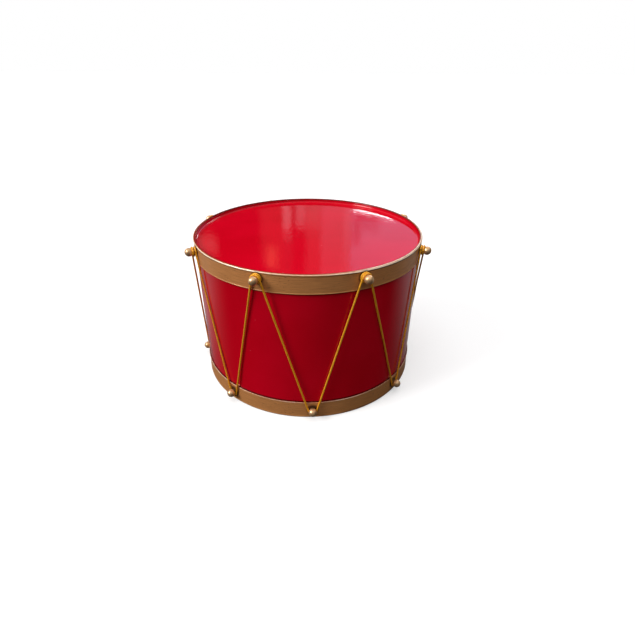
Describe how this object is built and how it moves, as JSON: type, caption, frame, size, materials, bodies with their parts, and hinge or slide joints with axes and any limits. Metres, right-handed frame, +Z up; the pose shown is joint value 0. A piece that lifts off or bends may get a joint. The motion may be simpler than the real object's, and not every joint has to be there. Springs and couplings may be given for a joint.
{
  "type": "decorative drum",
  "caption": "Round red sheet-metal drum with sunken metal heads, gold hoops, and a gold cord laced in a zigzag between rings of ball knobs.",
  "frame": {"origin": "centre of the foot, on the surface that the drum stands on", "axes": "+Z up along the drum's axis; the picture looks along +Y and down"},
  "size_m": [0.3203, 0.3213, 0.198],
  "materials": {
    "red_enamel": "gloss",
    "gold_paint": "satin, finely scratched",
    "knob_metal": "satin",
    "stud_steel": "plain",
    "gold_cord": "metallic thread"
  },
  "bodies": {
    "root": {"shell": "red_enamel", "top_head": "red_enamel", "bottom_head": "red_enamel", "top_hoop": "gold_paint", "bottom_hoop": "gold_paint", "lacing_cord": "gold_cord", "cord_ferrule": "knob_metal", "top_knob_1": "knob_metal", "top_knob_2": "knob_metal", "top_knob_3": "knob_metal", "top_knob_4": "knob_metal", "top_knob_5": "knob_metal", "top_knob_6": "knob_metal", "top_knob_7": "knob_metal", "top_knob_8": "knob_metal", "bottom_knob_1": "knob_metal", "bottom_knob_2": "knob_metal", "bottom_knob_3": "knob_metal", "bottom_knob_4": "knob_metal", "bottom_knob_5": "knob_metal", "bottom_knob_6": "knob_metal", "bottom_knob_7": "knob_metal", "bottom_knob_8": "knob_metal", "top_stud_1": "stud_steel", "top_stud_2": "stud_steel", "top_stud_3": "stud_steel", "top_stud_4": "stud_steel", "top_stud_5": "stud_steel", "top_stud_6": "stud_steel", "top_stud_7": "stud_steel", "top_stud_8": "stud_steel", "bottom_stud_1": "stud_steel", "bottom_stud_2": "stud_steel", "bottom_stud_3": "stud_steel", "bottom_stud_4": "stud_steel", "bottom_stud_5": "stud_steel", "bottom_stud_6": "stud_steel", "bottom_stud_7": "stud_steel", "bottom_stud_8": "stud_steel"}
  },
  "joints": []
}
